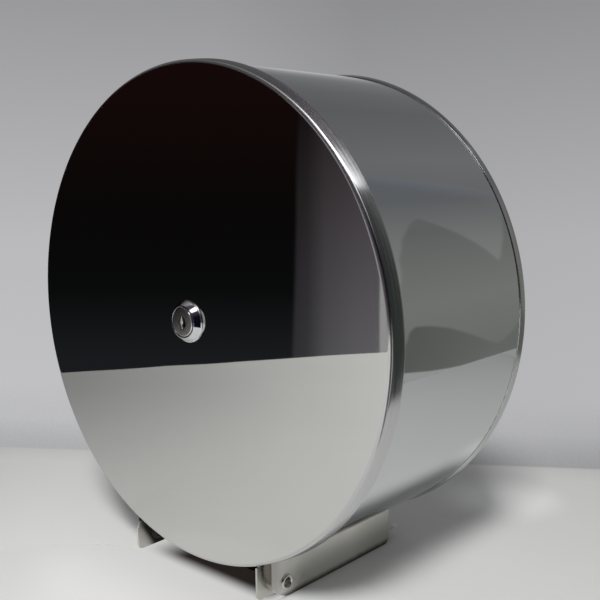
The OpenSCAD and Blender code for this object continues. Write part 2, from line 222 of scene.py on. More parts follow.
def new_material(name):
    mat = bpy.data.materials.new(name)
    mat.use_nodes = True
    return mat, Net(mat.node_tree)


# ---- Stage: table top and wall ----

# The table top ends behind the object along this line; the pale wall tone starts there.
SEAM_NORMAL, SEAM_OFFSET = (-0.5507, 0.8347, 0), 0.1069
# Painted shade: a soft dark band along this line, where the table meets the wall.
SEAM_SHADE = [(-0.03, 1.0), (-0.004, 0.93), (0.0, 0.80), (0.02, 0.84), (0.08, 1.0)]
WALL_FADE_IN = 0.22

# The wall's tone: painted light and shade, darker higher up and towards the right.
WALL_TONES = [(-0.34, 193), (-0.22, 192), (-0.08, 186), (0.16, 154), (0.30, 132), (0.9, 118)]
WALL_SIDES = [(-0.34, 1.0), (-0.12, 0.99), (0.03, 0.84), (0.3, 0.90)]
WALL_BLUE = 1.015

TABLE_COLOUR = (0.80, 0.80, 0.785)
# Painted light and shade: the table top is a little brighter at the front and darkens towards the wall
# behind and to the right.
TABLE_FALL_ALONG = (0.5, 1.0, 0)
TABLE_FALL = [(-0.20, 1.04), (-0.05, 0.93), (0.08, 0.88), (0.20, 0.82), (0.40, 0.70)]
# Places, reach and brightness of a painted shade on the far left and of a painted pool of light behind the
# object.
SHADE_SPOT, SHADE_REACH, SHADE_TONE = (-0.50, -0.25, FLOOR_Z), 0.5, 0.45
LIT_SPOT, LIT_REACH, LIT_TONE = (0.066, 0.092, FLOOR_Z), 0.050, 1.55
# Painted shade: under the drum, between the chute's lips, the table is painted nearly black.
CHUTE_SHADE = {"table": (0.09, 0.062, 0.048), "well": (0.024, 0.019, 0.017)}
CHUTE_ACROSS, CHUTE_ALONG = ((-0.060, -0.022), (0.045, 0.056)), ((-0.114, -0.1005), (-0.03, 0.0))
TABLE_ROUGH, TABLE_SHINE, TABLE_CLOUDS, TABLE_GRAIN = 0.75, 0.2, (7.0, 4.0), (420.0, 3.0)

# The wall's foot as seen and as mirrored; as seen it carries painted shade, brighter on the left and
# darker on the right.
WALL_FOOT_SEEN, WALL_FOOT_MIRRORED = (0.60, 0.60, 0.615), (0.68, 0.68, 0.69)
WALL_FOOT_SHADE = (-0.2, 0.2, 1.14, 0.84)
FOOT_GRAIN, WALL_GRAIN = 0.25, 0.10

# The open cover lies a little lower than the chute's lips, so the table has a shallow well for it.
WELL_AT, WELL_R, WELL_SIDE, WELL_BACK, WELL_DEPTH = (0.0, -0.2327), 0.1315, 0.0519, -0.091, 0.0119
# The well's tones are moved by this much, so that they run on from the table's.
WELL_SHIFT = (0.0195, -0.0155, WELL_DEPTH)
# Near the hinge, within this reach, the well does not show the lamp's light but glows with painted light
# at these levels across and along, so that no displaced shadow shows in it.
WELL_EVEN_FROM, WELL_EVEN_REACH = (0.0, -0.10, FLOOR_Z), (0.080, 0.120)
WELL_ACROSS, WELL_ALONG = (-0.15, 0.10, 0.875, 0.93), (-0.170, -0.112, 1.0, 0.88)
WELL_BOTTOM = [(-0.4, -0.6), (0.4, -0.6), (0.4, 0.0), (-0.4, 0.0)]
FAR = 9.0
RIM_STEPS = 120


def wall_tone(net, direction):
    """The pale wall behind the object, with its painted light and shade, as a tone for each direction from
    the camera's place.
    """
    height = net.split(direction)[2]
    tone = net.ramp(height, [(at, linear((v, v, v * WALL_BLUE))) for at, v in WALL_TONES])
    across = net.ramp(net.vector("DOT_PRODUCT", direction, right), WALL_SIDES)
    return net.vector("MULTIPLY", tone, across)


def table_tone(net, pos, x, y, shade):
    clouds = net.noise(pos, *TABLE_CLOUDS)
    tone = net.scale(TABLE_COLOUR, net.swing(clouds, 0.06, 1.0))
    # Painted light and shade: a shaded spot on the far left, the fall towards the wall and a pool of light
    # behind the object.
    from_shade_spot = net.vector("DISTANCE", pos, SHADE_SPOT)
    tone = net.scale(tone, net.between(from_shade_spot, 0.0, SHADE_REACH, SHADE_TONE, 1.0))
    tone = net.scale(tone, net.ramp(net.vector("DOT_PRODUCT", pos, TABLE_FALL_ALONG), TABLE_FALL))
    from_lit = net.vector("DISTANCE", pos, LIT_SPOT)
    tone = net.scale(tone, net.between(from_lit, 0.0, LIT_REACH, LIT_TONE, 1.0))
    # Painted shade under the drum, between the chute's lips.
    return net.mix(net.within((x, *CHUTE_ACROSS), (y, *CHUTE_ALONG)), tone, shade)


def floor_material(name, shift, evenly_lit=False):
    """The table top and the wall's foot behind it, with their painted light and shade. Seen from below it
    isn't there.
    """
    mat, net = new_material(name)
    place = net.add("NewGeometry")
    pos = net.vector("ADD", place.outputs["Position"], shift)
    x, y, _ = net.split(pos)
    paths = net.add("LightPath").outputs
    shown = net.math("MAXIMUM", paths["Is Camera Ray"], paths["Is Glossy Ray"])
    reach = net.math("SUBTRACT", net.vector("DOT_PRODUCT", pos, SEAM_NORMAL), SEAM_OFFSET)
    grain = net.noise(pos, *TABLE_GRAIN)

    table = table_tone(net, pos, x, y, CHUTE_SHADE["well" if evenly_lit else "table"])
    foot = net.scale(WALL_FOOT_SEEN, net.swing(grain, FOOT_GRAIN, 1.0))
    # Painted shade: seen from the camera, the foot is brighter on the left and darker on the right.
    foot = net.scale(foot, net.between(x, *WALL_FOOT_SHADE))
    foot = net.mix(paths["Is Camera Ray"], WALL_FOOT_MIRRORED, foot)
    # The painted shade along the seam darkens both the table and the wall's foot.
    seam = net.ramp(reach, SEAM_SHADE)
    colour = net.mix(net.math("GREATER_THAN", reach, 0.0), table, foot)
    colour = net.vector("MULTIPLY", colour, seam)
    bsdf = net.add("BsdfPrincipled", {"Base Color": colour, "Roughness": TABLE_ROUGH})
    bsdf.inputs["Specular IOR Level"].default_value = TABLE_SHINE

    if evenly_lit:
        level = net.product(net.between(x, *WELL_ACROSS, smooth=False), net.between(y, *WELL_ALONG))
        tone = net.scale(table, level)
        from_hinge = net.vector("DISTANCE", pos, WELL_EVEN_FROM)
        fade = net.product(shown, net.falling(from_hinge, *WELL_EVEN_REACH))
    else:
        ray = net.vector("NORMALIZE", net.vector("SUBTRACT", pos, CAM_POS))
        tone = net.vector("MULTIPLY", wall_tone(net, ray), seam)
        tone = net.scale(tone, net.swing(grain, WALL_GRAIN, 1.0))
        fade = net.product(net.between(reach, 0.0, WALL_FADE_IN), shown)
    both = net.mix_shaders(fade, bsdf.outputs["BSDF"], net.emission(tone))
    clear = net.add("BsdfTransparent").outputs[0]
    net.finish(net.mix_shaders(place.outputs["Backfacing"], both, clear))
    return mat


def stage_mesh(name, verts, faces, mat, mirrored_only=False):
    mesh = bpy.data.meshes.new(name)
    mesh.from_pydata([tuple(v) for v in verts], [], faces)
    mesh.materials.append(mat)
    obj = bpy.data.objects.new(name, mesh)
    bpy.context.scene.collection.objects.link(obj)
    if mirrored_only:
        for kind in ("camera", "diffuse", "transmission", "volume_scatter", "shadow"):
            setattr(obj, "visible_" + kind, False)
    return obj


def table_top():
    """The table top with the well's opening, and the well's bottom under it."""
    reach = math.acos(WELL_SIDE / WELL_R)
    opening = [(WELL_SIDE, WELL_BACK)]
    for i in range(RIM_STEPS + 1):
        a = reach - (math.pi + 2 * reach) * i / RIM_STEPS
        opening.append((WELL_AT[0] + WELL_R * math.cos(a), WELL_AT[1] + WELL_R * math.sin(a)))
    opening.append((-WELL_SIDE, WELL_BACK))
    n = len(opening)
    turns = [math.atan2(y - WELL_AT[1], x) for x, y in opening]
    outer = [(FAR * math.cos(a), FAR * math.sin(a)) for a in turns]
    verts = [(x, y, FLOOR_Z) for x, y in opening + outer]
    faces = [((i + 1) % n, n + (i + 1) % n, n + i, i) for i in range(n)]
    stage_mesh("floor", verts, faces, floor_material("floor", (0, 0, 0)))
    low = FLOOR_Z - WELL_DEPTH
    corners = [(x, y, low) for x, y in WELL_BOTTOM]
    stage_mesh("well", corners, [(0, 1, 2, 3)], floor_material("well", WELL_SHIFT, evenly_lit=True))


table_top()

# ---- Stage: cards that only the metal sees ----

COVER_PLANE_Y = -0.116
# What the flat cover mirrors is what would be seen straight from this mirrored place.
MIRROR_POS = Vector((CAM_POS.x, 2 * COVER_PLANE_Y - CAM_POS.y, CAM_POS.z))

# Each tone by height in the mirror: reddish black above, blue black near the table's edge.
DARK_ROOM = [(60, (20, 9, 8)), (210, (9, 7, 7)), (290, (9, 10, 10)), (360, (25, 26, 29))]
LIT_ROOM = [(90, (28, 22, 22)), (210, (54, 50, 53)), (358, (74, 73, 77))]
LIT_SIDES = [(298, 0.42), (308, 0.5), (326, 1.05), (357, 1.4), (380, 1.5)]
ROOM_END_LIGHT, FRONT_DARK = in_steel(138, 138, 138), in_steel(62, 57, 62)
# The lit part starts at a slightly leaning edge and ends at a straight one.
LIT_EDGE, LIT_LEAN, LIT_LEAN_AT, LIT_END = (293, 299), 0.025, 240, (378.5, 381.5)
# Straight in front of this X, and high up, the room is one dark tone.
FRONT_X, FRONT_EDGE_DEG, FRONT_ABOVE = 0.125, (-24, -18), (-140, -40)
ROOM_LINE = [(-0.70, -0.002), (-0.476, -0.343), (-0.273, -0.652), (0.0, -1.067), (0.7, -1.3), (1.5, -1.1)]
ROOM_HEIGHT = 0.5

# What shows in the drum's right side: each edge's height above the table, by distance along Y, in mm.
TABLE_END = [(100, 45), (148, 30), (199, 13), (236, 4), (260, 0), (600, 0)]
LOW_SHADE = [
    (130.0, 0), (133, 112), (140, 122), (161, 117), (191, 103), (229, 78), (252, 62),
    (277, 46), (296, 35), (304, 39), (312, 60), (316, 105), (600, 105),
]
HIGH_SHADE = [
    (118, 124), (124, 180), (162, 260), (203, 310), (250, 352), (280, 372), (291, 378),
    (292, 222), (303, 235), (327, 263), (370, 307), (429, 363), (600, 400),
]
HIGHEST_EDGE = 500.0
# Its tones: the low shade by distance, the middle and the top by height.
LOW_TONES = [(100, (80, 80, 78)), (300, (96, 98, 94))]
MIDDLE_TONES = [(0, (102, 103, 100)), (160, (110, 111, 108)), (330, (92, 93, 91))]
TOP_TONES = [
    (200, (122, 122, 120)), (258, (116, 116, 114)), (380, (99, 100, 100)),
    (460, (90, 91, 93)), (560, (89, 91, 94)),
]
TABLE_END_LIGHT, BESIDE_COVER_DARK = in_steel(140, 141, 138), in_steel(34, 37, 35)
TOP_LIFT, SHADE_SOFT, TABLE_SOFT, BESIDE_COVER = (440, 620, 1.0, 1.25), 3, 2, (112, 120)
# The window is high up and next to the cover.
WINDOW_BEFORE, WINDOW_ABOVE = (150, 175), (470, 495)
SIDE_LINE, SIDE_HEIGHT = [(0.30, -0.10), (0.30, 0.60)], 0.75
NEAR_LINE, NEAR_HEIGHT = [(0.20, -0.135), (0.26, -0.30), (0.42, -0.55)], 0.24
WINDOW_LIGHT = grey(3.1)


def screen(name, line, height, mat):
    """An upright card on the table along a line of points."""
    verts = [(x, y, FLOOR_Z + h) for h in (0, height) for x, y in line]
    n = len(line)
    faces = [(i, i + 1, n + i + 1, n + i) for i in range(n - 1)]
    return stage_mesh(name, verts, faces, mat, mirrored_only=True)


def steel_ramp(net, value, stops):
    return net.ramp(value, [(at, in_steel(*rgb)) for at, rgb in stops])


def mirror_place(net, pos):
    """Where a point of the room shows in the cover's mirror, across and down, in the camera's units."""
    ray = net.vector("SUBTRACT", pos, MIRROR_POS)
    flip = Vector((1, -1, 1))
    deep, across, high = (net.vector("DOT_PRODUCT", ray, axis * flip) for axis in (ahead, right, up))
    px = net.product(net.math("DIVIDE", across, deep), CAM_FOCAL_PX)
    py = net.product(net.math("DIVIDE", high, deep), CAM_FOCAL_PX)
    return net.math("ADD", px, CAM_CENTRE_PX[0]), net.math("SUBTRACT", CAM_CENTRE_PX[1], py)


def room_material():
    """The room in front of the cover: near black, a lit part on the right and a pale strip at its end."""
    mat, net = new_material("room")
    pos = net.add("NewGeometry").outputs["Position"]
    px, py = mirror_place(net, pos)
    dark = steel_ramp(net, py, DARK_ROOM)
    lit = net.scale(steel_ramp(net, py, LIT_ROOM), net.ramp(px, LIT_SIDES))
    edge = net.math("ADD", px, net.product(net.math("SUBTRACT", py, LIT_LEAN_AT), LIT_LEAN))
    colour = net.mix(net.between(edge, *LIT_EDGE), dark, lit)
    colour = net.mix(net.between(px, *LIT_END), colour, ROOM_END_LIGHT)
    x, y, _ = net.split(pos)
    angle = net.math("ARCTAN2", net.math("SUBTRACT", x, FRONT_X), net.math("SUBTRACT", COVER_PLANE_Y, y))
    colour = net.mix(net.between(angle, *map(math.radians, FRONT_EDGE_DEG)), colour, FRONT_DARK)
    colour = net.mix(net.falling(py, *FRONT_ABOVE), colour, FRONT_DARK)
    net.finish(net.emission(colour))
    return mat


def side_material():
    """The room beside the drum: table, two dark shapes, a window and a dark part next to the cover."""
    mat, net = new_material("side_wall")
    _, y, z = net.split(net.add("NewGeometry").outputs["Position"])
    along = net.product(y, 1000)
    high = net.product(net.math("SUBTRACT", z, FLOOR_Z), 1000)

    def above(stops, soft):
        line = net.ramp(along, [(at, h / HIGHEST_EDGE) for at, h in stops])
        line = net.product(net.first_channel(line), HIGHEST_EDGE)
        return net.between(net.math("SUBTRACT", high, line), -soft, soft)

    top = net.scale(steel_ramp(net, high, TOP_TONES), net.between(along, *TOP_LIFT))
    colour = net.mix(above(HIGH_SHADE, SHADE_SOFT), steel_ramp(net, high, MIDDLE_TONES), top)
    colour = net.mix(above(LOW_SHADE, SHADE_SOFT), steel_ramp(net, along, LOW_TONES), colour)
    colour = net.mix(above(TABLE_END, TABLE_SOFT), TABLE_END_LIGHT, colour)
    colour = net.mix(net.between(along, *BESIDE_COVER), BESIDE_COVER_DARK, colour)
    window = net.product(net.falling(along, *WINDOW_BEFORE), net.between(high, *WINDOW_ABOVE))
    net.finish(net.emission(net.mix(window, colour, WINDOW_LIGHT)))
    return mat


def near_material():
    """Something dark close by on the right, in front of the cover's plane."""
    mat, net = new_material("near_dark")
    net.finish(net.emission(in_steel(9, 7, 17)))
    return mat


screen("room", ROOM_LINE, ROOM_HEIGHT, room_material())
screen("side_wall", SIDE_LINE, SIDE_HEIGHT, side_material())
screen("near_dark", NEAR_LINE, NEAR_HEIGHT, near_material())

# ---- World and lamp ----

# A bright strip beside the object: its width by the angle from straight in front (-Y), and its
# light round the drum's axis, in degrees from the right over the top.
STRIP_BAND = [(78, 0.0), (83, 1.0), (102, 1.0), (110, 0.0)]
STRIP_POWER = [
    (-180, 0.05), (-60, 0.03), (0, 0.018), (25, 0.05), (35, 0.30), (46, 1.6), (58, 4.5), (70, 5.0),
    (82, 2.5), (95, 0.8), (110, 0.35), (130, 0.2), (180, 0.12),
]
# The wall's tone in the drum, round its axis.
WALL_ROUND = [
    (60, 1.0), (78, 1.12), (92, 1.0), (112, 0.84), (130, 0.90), (146, 1.08), (156, 1.5), (172, 2.0),
]
# Dark on the right, then the front's tone over the top, then a dim one on the left.
RIGHT_DARK, RIGHT_TO_TOP, LEFT_DIM, TOP_TO_LEFT = in_steel(10, 8, 20), (25, 65), grey(0.10), (100, 135)
BEHIND_FROM = (130, 137)
# A window further round lights the skirt, and a small one makes the lock's highlight: each one's
# soft ends by the angle from straight in front, then by the angle round the axis.
SKIRT_WINDOW = ((106, 110), (130, 134)), ((42, 47), (59, 74))
GLINT_WINDOW = ((62, 68), (80, 84)), ((57, 63), (76, 84))
GLINT_LIGHT = grey(2.8)
AMBIENT = (0.97, 0.985, 1.0, 1)
AMBIENT_STRENGTH = 0.24
KEY_POS, KEY_SIZE, KEY_POWER = (0.80, -1.28, 1.68), 0.50, 43


def studio_world():
    world = bpy.data.worlds.new("studio")
    bpy.context.scene.world = world
    world.use_nodes = True
    net = Net(world.node_tree)
    direction = net.add("TexCoord").outputs["Generated"]
    x, y, z = net.split(direction)
    from_front = net.math("DEGREES", net.math("ARCCOSINE", net.product(y, -1)))
    roll = net.math("DEGREES", net.math("ARCTAN2", z, x))

    wall = wall_tone(net, direction)
    front = net.mix(net.between(roll, *RIGHT_TO_TOP), RIGHT_DARK, FRONT_DARK)
    front = net.mix(net.between(roll, *TOP_TO_LEFT), front, LEFT_DIM)
    behind = net.vector("MULTIPLY", wall, net.ramp(roll, WALL_ROUND))
    wide = net.mix(net.between(from_front, *BEHIND_FROM), front, behind)
    band = net.ramp(from_front, STRIP_BAND)
    peak = max(v for _, v in STRIP_POWER)
    power = net.ramp(roll, [(at, v / peak) for at, v in STRIP_POWER])
    strip = net.scale(net.vector("MULTIPLY", band, power), peak)
    mirrored = net.mix(net.first_channel(band), wide, strip)
    for (by_front, by_roll), glow in ((SKIRT_WINDOW, WINDOW_LIGHT), (GLINT_WINDOW, GLINT_LIGHT)):
        mirrored = net.mix(net.within((from_front, *by_front), (roll, *by_roll)), mirrored, glow)

    paths = net.add("LightPath").outputs
    seen = net.mix(paths["Is Camera Ray"], mirrored, wall)
    shown = net.math("MAXIMUM", paths["Is Camera Ray"], paths["Is Glossy Ray"])
    shown = net.math("MAXIMUM", shown, paths["Is Transmission Ray"])
    show = net.add("Background", {"Color": seen, "Strength": 1.0})
    light = net.add("Background", {"Color": AMBIENT, "Strength": AMBIENT_STRENGTH})
    both = net.mix_shaders(shown, light.outputs[0], show.outputs[0])
    net.put(net.add("OutputWorld").inputs["Surface"], both)


def key_lamp():
    data = bpy.data.lights.new("key", "AREA")
    data.size = KEY_SIZE
    data.energy = KEY_POWER
    obj = bpy.data.objects.new("key", data)
    bpy.context.scene.collection.objects.link(obj)
    obj.location = KEY_POS
    obj.rotation_euler = (-Vector(KEY_POS)).to_track_quat("-Z", "Y").to_euler()
    obj.visible_glossy = False


studio_world()
key_lamp()

# ---- Materials ----

BUMP_DEPTH, SCRATCH_WIDTH = 0.0002, 0.0035
BEVEL_SAMPLES = 6
# The near-black tone of the painted shade inside the left lip.
INNER_DARK = (0.018, 0.014, 0.012)
# Painted light and shade on the inner faces of the left lip and ear: brightened over their lower part, and
# darkened with depth from their lower front corner.
LIP_SLOPE = 0.6
LIP_DEEP = -0.1135 - LIP_SLOPE * 0.1402
INNER_ACROSS, INNER_BELOW, INNER_ROUGH = ((-0.0523, -0.0520), (-0.045, -0.040)), (-0.117, -0.116), 0.4
SHADE_NEAR, SHADE_FAR, INNER_GAIN = 0.004, 0.0115, 1.4
# Painted light and shade on the lips: how bright they are from front to back, by Y in mm.
LIP_LIGHT_AND_SHADE = [
    (-114, 0.74), (-109, 0.80), (-104, 1.08), (-96, 1.25), (-88, 1.22),
    (-74, 1.32), (-48, 1.36), (-30, 1.1), (-15, 1.0),
]
DRUM_COLOUR, LIP_COLOUR = (0.612, 0.63, 0.64), (0.61, 0.60, 0.56)
DRUM_ROUGH, LIP_ROUGHER, DRUM_BEVEL = 0.04, 0.24, 0.0004
# The lips reach down from here and lie this near the middle. Their last millimetres, at the cut edge,
# take a painted shade with a ragged border, and so does the fold at their front.
LIP_BELOW, LIP_BESIDE = (-0.1172, -0.1160), (0.0545, 0.0560)
CUT_EDGE_BELOW, CUT_EDGE_RAGGED, CUT_EDGE_MASK = (-0.1400, -0.1362), 0.0012, 0.92
FOLD_BEFORE, FOLD_BESIDE, FOLD_MASK = (-0.1120, -0.1112), (0.0534, 0.0538), 0.85
CUT_EDGE_SHADE, FOLD_SHADE = (0.06, 0.05, 0.035), (0.10, 0.085, 0.065)


def scratches(net, pos, turned_by, stretch):
    """Faint thin lines: the places where a stretched noise passes its middle value."""
    node = net.add("Mapping", {"Vector": pos, "Rotation": turned_by, "Scale": stretch})
    off = net.math("ABSOLUTE", net.math("SUBTRACT", net.noise(node.outputs[0], 1.0, 1.5), 0.5))
    return net.falling(off, 0.0, SCRATCH_WIDTH)


def inner_shade(net, pos, tone):
    """The tone with painted light and shade on the left lip's and ear's inner faces, and the mask of the
    painted shade.
    """
    x, y, z = net.split(pos)
    deep = net.math("ADD", y, net.product(z, LIP_SLOPE))
    near = net.product(net.within((x, *INNER_ACROSS)), net.falling(z, *INNER_BELOW))
    mask = net.product(near, net.between(deep, LIP_DEEP + SHADE_NEAR, LIP_DEEP + SHADE_FAR))
    lit = net.scale(tone, net.math("ADD", net.product(near, INNER_GAIN - 1), 1.0))
    return net.mix(mask, lit, INNER_DARK), mask


def metal(
    name, colour, rough, bump=0.0, bump_scale=300.0, rough_var=0.05, metallic=1.0,
    bevel=0.0, wear=0.0, shade_inside=False,
):
    """A worn metal or plastic: cloudy tone and roughness, a fine grain, thin scratches with wear, and
    painted light and shade inside the left lip with shade_inside.
    """
    mat, net = new_material(name)
    pos = net.add("TexCoord").outputs["Object"]
    cloud = net.noise(pos, 18.0, 5.0)
    shade = net.swing(cloud, 0.04, 1.0)
    tone = net.add("HueSaturation", {"Color": (*colour, 1), "Value": shade}).outputs["Color"]
    roughness = net.swing(cloud, rough_var, rough, clamp=True)
    if wear:
        lines = net.math(
            "MAXIMUM",
            scratches(net, pos, (0.4, 0.9, 0.3), (9, 5, 30)),
            scratches(net, pos, (1.2, 0.2, 2.1), (26, 8, 6)),
        )
        lines = net.product(lines, net.between(net.noise(pos, 11.0, 2.0), 0.52, 0.66))
        roughness = net.math("ADD", roughness, net.product(lines, wear), clamp=True)
        tone = net.scale(tone, net.math("SUBTRACT", 1.0, net.product(lines, wear * 0.5)))
    # Painted light and shade on the left lip's and ear's inner faces, which there also turn less metallic
    # and rougher.
    if shade_inside:
        tone, mask = inner_shade(net, pos, tone)
        metallic = net.product(net.math("SUBTRACT", 1.0, mask), metallic)
        roughness = net.math("ADD", roughness, net.product(mask, INNER_ROUGH), clamp=True)
    bsdf = net.add("BsdfPrincipled", {"Base Color": tone, "Metallic": metallic, "Roughness": roughness})
    normal = None
    if bevel:
        normal = net.add("Bevel", {"Radius": bevel}, samples=BEVEL_SAMPLES).outputs["Normal"]
    if bump:
        grain = net.noise(pos, bump_scale, 3.0)
        node = net.add("Bump", {"Strength": bump, "Distance": BUMP_DEPTH, "Height": grain})
        if normal:
            net.put(node.inputs["Normal"], normal)
        normal = node.outputs[0]
    if normal:
        net.put(bsdf.inputs["Normal"], normal)
    net.finish(bsdf.outputs["BSDF"])
    return mat


# The brushing: strokes round the rim and from front to back, and how far it smears a reflection.
BRUSH_ROUND, BRUSH_ALONG, BRUSH_COLOUR, BRUSH_SMEAR = 2.2, 1400.0, (0.62, 0.62, 0.625), 0.85


def skirt_material():
    """Steel brushed round the rim: reflections smear from front to back, with fine streaks round it."""
    mat, net = new_material("brushed_rim")
    x, y, z = net.split(net.add("TexCoord").outputs["Object"])
    angle = net.math("ARCTAN2", z, x)
    strokes = {0: net.product(angle, BRUSH_ROUND), 1: net.product(y, BRUSH_ALONG)}
    streak = net.noise(net.add("CombineXYZ", strokes).outputs[0], 1.0, 3.0)
    tone = net.scale(BRUSH_COLOUR, net.swing(streak, 0.35, 0.95))
    around = net.add("Tangent", direction_type="RADIAL", axis="Y").outputs[0]
    inputs = {
        "Base Color": tone, "Metallic": 1.0, "Roughness": net.swing(streak, 0.22, 0.21), "Tangent": around,
    }
    bsdf = net.add("BsdfPrincipled", inputs)
    bsdf.inputs["Anisotropic"].default_value = BRUSH_SMEAR
    bsdf.inputs["Anisotropic Rotation"].default_value = 0.25
    net.finish(bsdf.outputs["BSDF"])
    return mat


def drum_material():
    """Smooth drum sheet. The lips are duller and browner, with painted light and shade along them and
    inside the left one, and painted shade at their cut edge and front fold.
    """
    mat, net = new_material("drum_steel")
    pos = net.add("TexCoord").outputs["Object"]
    x, y, z = net.split(pos)
    cloud = net.noise(pos, 16.0, 5.0)
    from_middle = net.math("ABSOLUTE", x)
    lip = net.product(net.falling(z, *LIP_BELOW), net.falling(from_middle, *LIP_BESIDE))
    tone = net.scale(net.mix(lip, DRUM_COLOUR, LIP_COLOUR), net.swing(cloud, 0.06, 1.0))
    # Painted light and shade along the lips.
    lip_light = net.ramp(net.product(y, 1000), LIP_LIGHT_AND_SHADE)
    tone = net.mix(lip, tone, net.vector("MULTIPLY", tone, lip_light))
    tone, _ = inner_shade(net, pos, tone)
    # Painted shade along the lips' cut edge, with a ragged border.
    ragged = net.swing(net.noise(pos, 260.0, 3.0), CUT_EDGE_RAGGED, z)
    edge = net.falling(ragged, *CUT_EDGE_BELOW)
    tone = net.mix(net.product(edge, CUT_EDGE_MASK), tone, CUT_EDGE_SHADE)
    # Painted shade in the lips' front fold.
    fold = net.product(net.falling(y, *FOLD_BEFORE), lip, net.falling(from_middle, *FOLD_BESIDE))
    tone = net.mix(net.product(fold, FOLD_MASK), tone, FOLD_SHADE)
    rough = net.swing(cloud, 0.03, DRUM_ROUGH)
    rough = net.math("ADD", rough, net.product(lip, LIP_ROUGHER), clamp=True)
    lines = net.product(scratches(net, pos, (0.2, 0.1, 0.4), (7, 22, 9)), net.between(cloud, 0.50, 0.62))
    rough = net.math("ADD", rough, net.product(lines, 0.12))
    bsdf = net.add("BsdfPrincipled", {"Base Color": tone, "Metallic": 1.0, "Roughness": rough})
    rounded = net.add("Bevel", {"Radius": DRUM_BEVEL}, samples=BEVEL_SAMPLES)
    net.put(bsdf.inputs["Normal"], rounded.outputs["Normal"])
    net.finish(bsdf.outputs["BSDF"])
    return mat


BRACKET = dict(colour=(0.66, 0.65, 0.60), rough=0.52, bump=0.1, metallic=0.9, bevel=0.0003)
RIVET = dict(colour=(0.62, 0.61, 0.58), rough=0.22, bump=0.1)
LOOKS = {
    "polished_steel": dict(colour=(0.63, 0.63, 0.615), rough=0.015, rough_var=0.01, wear=0.06),
    "satin_steel": dict(colour=(0.62, 0.625, 0.625), rough=0.06, rough_var=0.03, bevel=0.0004, wear=0.12),
    "cut_edge": dict(colour=(0.16, 0.155, 0.15), rough=0.5, bump=0.2, bump_scale=900.0),
    "rim_edge": dict(colour=(0.58, 0.58, 0.58), rough=0.16, rough_var=0.1),
    "rim_steel": dict(colour=(0.56, 0.565, 0.55), rough=0.17, rough_var=0.12),
    "bracket_steel": BRACKET,
    "hinge_steel": dict(BRACKET, shade_inside=True),
    "rivet_steel": RIVET,
    "left_rivet": dict(RIVET, shade_inside=True),
    "lock_chrome": dict(colour=(0.70, 0.70, 0.72), rough=0.08, bevel=0.0002),
    "lock_plug_metal": dict(colour=(0.235, 0.23, 0.215), rough=0.40, bump=0.12, bump_scale=700.0),
    "wafer_brass": dict(colour=(0.86, 0.83, 0.76), rough=0.30, bump=0.1, bump_scale=500.0),
    "zinc_steel": dict(colour=(0.52, 0.52, 0.50), rough=0.32, bump=0.15),
    # Painted shade: a near-black look for the inside of the keyway and chamber and the wafers' sides.
    "lock_inside": dict(colour=(0.02, 0.02, 0.02), rough=0.6, bump=0.2, metallic=0.0),
    "spacer_nylon": dict(colour=(0.78, 0.78, 0.74), rough=0.5, metallic=0.0),
    # Painted shade: the left washer is near black, for the shade inside the left lip.
    "washer_in_shade": dict(colour=(0.05, 0.045, 0.04), rough=0.6, metallic=0.0),
}
MATERIALS = {name: metal(name, **look) for name, look in LOOKS.items()}
MATERIALS["drum_steel"] = drum_material()
MATERIALS["edge_steel"] = skirt_material()

# Pieces with looks of their own: the drum with painted light and shade on its lips and, inside the left
# lip, painted shade on the rivet, the bracket's ear and the near-black washer.
OWN_LOOK = {
    "drum_shell": "drum_steel",
    "hinge_rivet_left": "left_rivet",
    "hinge_bracket": "hinge_steel",
    "hinge_washer_left": "washer_in_shade",
}
for sub in frame["record"]["subparts"]:
    look = OWN_LOOK.get(sub["node"], sub["material_slot"])
    for slot in nodes[sub["node"]].material_slots:
        slot.material = MATERIALS[look]


# ---- Mesh helpers ----

def link_mesh(name, bm, looks, body, node):
    """Makes a piece from the mesh: it rides the body in the place of the CAD node."""
    mesh = bpy.data.meshes.new(name)
    bm.to_mesh(mesh)
    bm.free()
    for look in looks:
        mesh.materials.append(MATERIALS[look])
    obj = bpy.data.objects.new(name, mesh)
    bpy.context.scene.collection.objects.link(obj)
    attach(obj, body)
    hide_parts(node)
    return obj


def arc(cx, cz, r, a0, a1, n):
    """Points on an arc, angles in degrees."""
    turns = [math.radians(a0 + (a1 - a0) * i / n) for i in range(n + 1)]
    return [(cx + r * math.cos(a), cz + r * math.sin(a)) for a in turns]


# Edges sharper than this stay sharp, in degrees.
COVER_SMOOTH, TURNED_SMOOTH, PLUG_SMOOTH = 40, 35, 30


def smooth_by_angle(bm, degrees):
    for f in bm.faces:
        f.smooth = True
    for e in bm.edges:
        if len(e.link_faces) == 2 and e.calc_face_angle(0) > math.radians(degrees):
            e.smooth = False


def over_cover(x, z, height):
    """A place from its distances across and up and its height over the cover's face, in mm."""
    return (x * MM, -(COVER_FACE + height) * MM, z * MM)


def add_flanks(bm, near, far, material=0):
    """Side faces between two rings of as many points."""
    n = len(near)
    for i in range(n):
        j = (i + 1) % n
        bm.faces.new([near[i], near[j], far[j], far[i]]).material_index = material


def turned(profile, steps, warp=None):
    """A closed body of revolution about the lock's axis from (radius, height over the cover) points."""
    bm = bmesh.new()
    rings = []
    for k in range(steps):
        a = 2 * math.pi * k / steps
        ring = []
        for r, h in profile:
            x, z = r * math.cos(a), r * math.sin(a)
            if warp:
                x, z = warp(x, z, h)
            ring.append(bm.verts.new(over_cover(x, z, h)))
        rings.append(ring)
    for k in range(steps):
        add_flanks(bm, rings[k], rings[(k + 1) % steps])
    bmesh.ops.remove_doubles(bm, verts=bm.verts, dist=1e-8)
    bmesh.ops.recalc_face_normals(bm, faces=bm.faces)
    smooth_by_angle(bm, TURNED_SMOOTH)
    return bm


